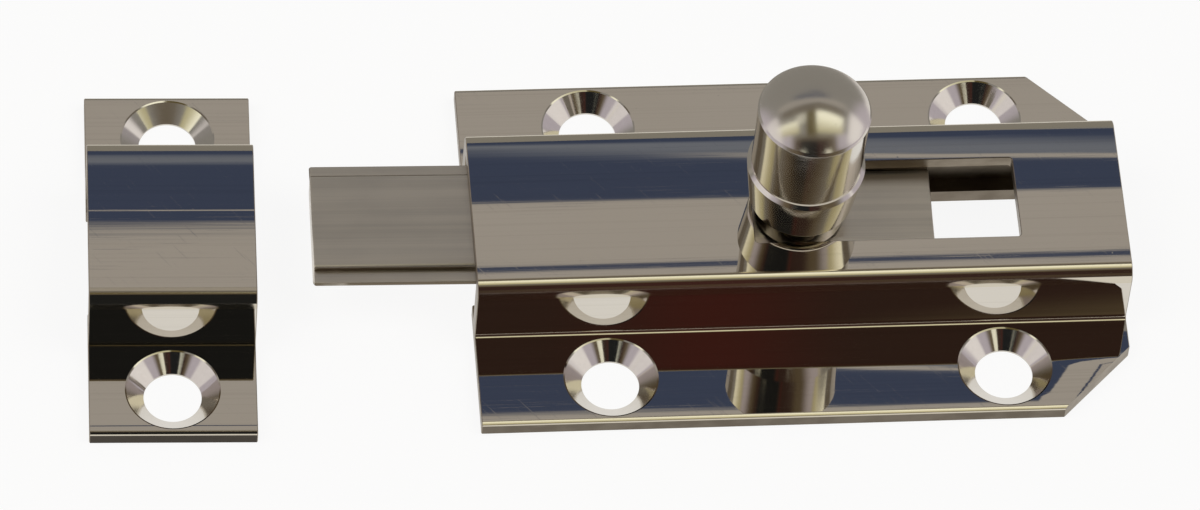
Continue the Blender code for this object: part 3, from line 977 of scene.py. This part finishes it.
knob_outline = knob_profile(bar_high.z, bar_low.z)
bolt_knob = turned("bolt_knob", knob_outline, KNOB_X, turned_nickel())
shade_turned(bolt_knob, knob_outline)
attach(bolt_knob, "bolt")
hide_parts("knob")


# The bow spring is a strip of blued spring steel under the bar, threaded on the spigot.
# Its turned-up tips slide on the lips of the case and its middle lifts the bar.

SPRING_TIP_LENGTH = 0.0015
SPRING_TIP_LIFT = 0.0004
SPRING_EDGE = 0.00005
SPRING_EDGE_STEPS = 3
BOW_STEPS = 48

STEEL = (0.30, 0.31, 0.33, 1.0)
STEEL_DARK = (0.20, 0.215, 0.25, 1.0)


def spring_steel():
    """Rolled strip: dull, with lines from the rolls and a thin blue oxide."""
    material, wires, shader = bare_metal("rolled_steel")
    place = wires.node("ShaderNodeTexCoord", output="Object")
    roll_lines = place.noise((80.0, 9000.0, 80.0), 2.0)
    oxide = place.noise((350.0, 500.0, 350.0), 4.0)
    colour = oxide.rise(0.35, 0.65).blend(STEEL_DARK, STEEL)
    roughness = 0.34 + oxide * 0.12
    finish_metal(shader, colour, roughness, roll_lines + oxide * 0.5, 1e-6)
    return material


spring_low, spring_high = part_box("bow_spring")
spring_middle = (spring_low.x + spring_high.x) / 2
half_bow = (spring_high.x - spring_low.x) / 2 - SPRING_TIP_LENGTH
spring_rise = spring_high.z - SPRING_THICKNESS - spring_low.z
spring_line = [(-half_bow - SPRING_TIP_LENGTH, SPRING_TIP_LIFT)]
for step in range(BOW_STEPS + 1):
    share = 2 * step / BOW_STEPS - 1
    spring_line.append((half_bow * share, spring_rise * (1 + math.cos(math.pi * share)) / 2))
spring_line.append((half_bow + SPRING_TIP_LENGTH, SPRING_TIP_LIFT))
steel_finishes = [spring_steel()]
spring_rings = []
for along, up in spring_line:
    x, z = spring_middle + along, spring_low.z + up
    strip = rounded([
        (spring_low.y, z, SPRING_EDGE),
        (spring_low.y, z + SPRING_THICKNESS, SPRING_EDGE),
        (spring_high.y, z + SPRING_THICKNESS, SPRING_EDGE),
        (spring_high.y, z, SPRING_EDGE),
    ], SPRING_EDGE_STEPS)
    spring_rings.append([(x, point.x, point.y) for point in strip])
bolt_spring = skinned("bolt_spring", spring_rings, steel_finishes)
drill_foot, drill_top = spring_low.z, spring_high.z + CUT_MARGIN
cut_out(bolt_spring, [round_cutter(KNOB_X, SPIGOT_HOLE_RADIUS, drill_foot, drill_top, steel_finishes)])
soften(bolt_spring, sharp_from=30)
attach(bolt_spring, "bolt")
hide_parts("bow_spring")


# The floor is a plain pale sheet. Most of what the camera and the metal see of it is its
# own white, and the rest takes the soft shadow under the set.

FLOOR_RADIUS = 3.0
FLOOR_STEPS = 96
FLOOR_COLOUR = (0.90, 0.90, 0.90, 1.0)
FLOOR_WHITE = 0.90

floor_mesh = bpy.data.meshes.new("floor")
floor_ring = [
    (FLOOR_RADIUS * math.cos(angle), FLOOR_RADIUS * math.sin(angle), 0)
    for angle in (2 * math.pi * step / FLOOR_STEPS for step in range(FLOOR_STEPS))
]
floor_mesh.from_pydata(floor_ring, [], [tuple(range(FLOOR_STEPS))])
floor = bpy.data.objects.new("floor", floor_mesh)
bpy.context.scene.collection.objects.link(floor)
floor_material = bpy.data.materials.new("pale_floor")
floor_material.use_nodes = True
floor_material.node_tree.nodes.clear()
wires = Wire(floor_material.node_tree)
light_path = wires.node("ShaderNodeLightPath")
rays = [light_path.beside(name) for name in ("Is Camera Ray", "Is Glossy Ray", "Is Transmission Ray")]
seen = (rays[0] + rays[1] + rays[2]).rise(0.0, 1.0)
sheet = wires.node("ShaderNodeBsdfDiffuse", {}, {"Color": FLOOR_COLOUR})
white = wires.node("ShaderNodeEmission", {}, {"Color": (1.0, 1.0, 1.0, 1.0), "Strength": 1.0})
shown = wires.node("ShaderNodeMixShader", {}, {0: seen * FLOOR_WHITE, 1: sheet, 2: white})
wires.node("ShaderNodeOutputMaterial", {}, {"Surface": shown})
floor_mesh.materials.append(floor_material)


# The studio around the set: a grey room with a blue-grey gap low behind, two warm soft
# lamps overhead with a dark gap between them, a dark front where the photographer
# stands, and pale cloth near the horizon on every side. Its patches are placed so that
# the metal mirrors the photo's bands from this camera. In degrees, over goes from the
# horizon behind, across the top, to the one in front, and side from left to right.

ROOM_GREY = (0.315, 0.305, 0.292, 1.0)
ROOM_LIGHT = (0.452, 0.424, 0.398, 1.0)
ROOM_BLUE = (0.056, 0.073, 0.131, 1.0)
ROOM_BLUE_PALE = (0.190, 0.210, 0.260, 1.0)
ROOM_BROWN = (0.185, 0.160, 0.132, 1.0)
LAMP_CREAM = (1.38, 1.38, 1.17, 1.0)
LAMP_EDGE = (0.62, 0.58, 0.36, 1.0)
LAMP_GAP = (0.14, 0.11, 0.045, 1.0)
FRONT_OLIVE = (0.150, 0.118, 0.076, 1.0)
FRONT_BROWN = (0.052, 0.030, 0.025, 1.0)
FRONT_BLACK = (0.018, 0.019, 0.020, 1.0)
FRONT_RED = (0.085, 0.025, 0.0215, 1.0)
CLOTH_LAVENDER = (0.600, 0.560, 0.640, 1.0)
CLOTH_WHITE = (1.05, 1.02, 1.05, 1.0)

world = bpy.data.worlds.new("studio")
bpy.context.scene.world = world
world.use_nodes = True
world.node_tree.nodes.clear()
wires = Wire(world.node_tree)
direction = wires.node("ShaderNodeTexCoord", output="Generated")
split = direction.node("ShaderNodeSeparateXYZ", {}, {0: direction})
across, back, up = (split.beside(i) for i in range(3))
over = wires.node("ShaderNodeMath", {"operation": "ARCTAN2"}, {0: up, 1: back}) * math.degrees(1)
side = wires.node("ShaderNodeMath", {"operation": "ARCSINE"}, {0: across}) * math.degrees(1)
height = wires.node("ShaderNodeMath", {"operation": "ARCSINE"}, {0: up}) * math.degrees(1)
aside = wires.node("ShaderNodeMath", {"operation": "ABSOLUTE"}, {0: side})

middle = aside.rise(48.0, 36.0)
studio = (over.within(54.15, 64.5, 0.12) * middle).blend(ROOM_GREY, ROOM_LIGHT)
blue = (over.rise(50.2, 51.3) * over.rise(52.3, 51.45)).blend(ROOM_BLUE, ROOM_BLUE_PALE)
gap = over.within(48.6, 54.15, 0.1) + over.within(56.93, 57.18, 0.05)
studio = (gap * aside.rise(26.0, 10.0)).blend(studio, blue)
studio = (over.within(51.72, 51.98, 0.05) * side.within(6.2, 20.0, 0.8)).blend(studio, ROOM_LIGHT)
studio = (over.within(66.5, 79.0, 1.6) * middle).blend(studio, ROOM_BROWN)
studio = aside.within(52.0, 90.0, 8.0).blend(studio, CLOTH_LAVENDER)
front = over.rise(108.0, 118.0) * aside.rise(56.0, 38.0)
studio = front.blend(studio, FRONT_OLIVE)
studio = (over.within(107.0, 135.0, 5.0) * aside.within(31.0, 60.0, 5.0)).blend(studio, CLOTH_LAVENDER)
between_lamps = over.within(79.0, 112.0, 2.0) * side.within(-11.0, 2.9, 0.8)
studio = between_lamps.blend(studio, LAMP_GAP)
lamp = over.rise(85.0, 109.0).blend(LAMP_CREAM, LAMP_EDGE)
studio = (over.within(80.5, 108.5, 1.2) * side.within(2.9, 39.5, 0.8)).blend(studio, lamp)
studio = (over.within(88.0, 108.0, 1.8) * side.within(-52.0, -21.0, 2.0)).blend(studio, lamp)
studio = (over.within(80.5, 93.0, 1.5) * side.within(-23.0, -11.5, 1.5) * 0.4).blend(studio, LAMP_CREAM)
front_wall = over.within(118.5, 176.0, 1.5)
dark = front_wall * side.within(-24.0, 20.0, 4.0)
studio = dark.blend(studio, FRONT_BROWN)
reddish = front_wall * side.rise(4.9, 6.0) * side.rise(7.0, 6.0)
studio = reddish.blend(studio, FRONT_RED)
studio = (over.within(161.0, 172.0, 1.0) * side.within(4.0, 20.0, 0.3) * 0.4).blend(studio, FRONT_OLIVE)
darkest = front_wall * side.within(-19.0, 3.6, 1.0)
studio = darkest.blend(studio, FRONT_BLACK)
white_cloth = over.within(62.0, 126.0, 4.0) * side.within(48.0, 70.0, 2.5)
white_cloth = white_cloth + over.within(66.0, 126.0, 4.0) * side.within(-70.0, -46.0, 2.5) * 0.75
studio = white_cloth.blend(studio, CLOTH_WHITE)
small_lamps = side.within(15.0, 23.0, 1.0) + side.within(-20.0, -13.0, 1.0) * 0.7
studio = (over.within(132.5, 140.0, 0.8) * small_lamps * 0.85).blend(studio, LAMP_CREAM)
studio = height.rise(4.5, 2.5).blend(studio, CLOTH_WHITE)
background = wires.node("ShaderNodeBackground", {}, {"Color": studio, "Strength": 1.0})
wires.node("ShaderNodeOutputWorld", {}, {"Surface": background})


# Two large soft lamps over the set, left and right, bring the light on plain surfaces to
# a level at which a colour looks as it is written.

LAMP_SIZE = 0.9
LAMP_DISTANCE = 1.3
LAMP_POWER = 3.6
LAMP_COLOUR = (1.0, 0.985, 0.96)
LAMP_ASIDE = 0.55
LAMP_BACK = -0.15
LAMP_UP = 0.82

for lamp_name, lamp_side in (("left_lamp", -1), ("right_lamp", 1)):
    lamp_data = bpy.data.lights.new(lamp_name, "AREA")
    lamp_data.shape = "DISK"
    lamp_data.size = LAMP_SIZE
    lamp_data.energy = LAMP_POWER
    lamp_data.color = LAMP_COLOUR
    lamp = bpy.data.objects.new(lamp_name, lamp_data)
    towards = Vector((lamp_side * LAMP_ASIDE, LAMP_BACK, LAMP_UP)).normalized()
    lamp.location = towards * LAMP_DISTANCE
    lamp.rotation_mode = "QUATERNION"
    lamp.rotation_quaternion = lamp.location.to_track_quat("Z", "Y")
    lamp.visible_glossy = False
    bpy.context.scene.collection.objects.link(lamp)


# The camera stands in front of the set, a little to its left and well above it.

CAMERA_PLACE = (-0.06371318, -0.39632267, 0.55854105)
CAMERA_RIGHT = Vector((0.99535970, -0.07559457, 0.05953587))
CAMERA_UP = Vector((0.02702397, 0.81343057, 0.58103392))
SENSOR_WIDTH = 36.0
IMAGE_WIDTH = 1200
FOCAL_PIXELS = 8964.84

camera_data = bpy.data.cameras.new("camera")
camera_data.sensor_fit = "HORIZONTAL"
camera_data.sensor_width = SENSOR_WIDTH
camera_data.lens = FOCAL_PIXELS * SENSOR_WIDTH / IMAGE_WIDTH
camera_data.clip_start = 0.01
camera_data.clip_end = 10.0
camera = bpy.data.objects.new("camera", camera_data)
axes = Matrix((CAMERA_RIGHT, CAMERA_UP, CAMERA_RIGHT.cross(CAMERA_UP))).transposed()
camera.matrix_world = Matrix.Translation(CAMERA_PLACE) @ axes.to_4x4()
bpy.context.scene.collection.objects.link(camera)
bpy.context.scene.camera = camera

bpy.context.scene.view_settings.view_transform = "Standard"
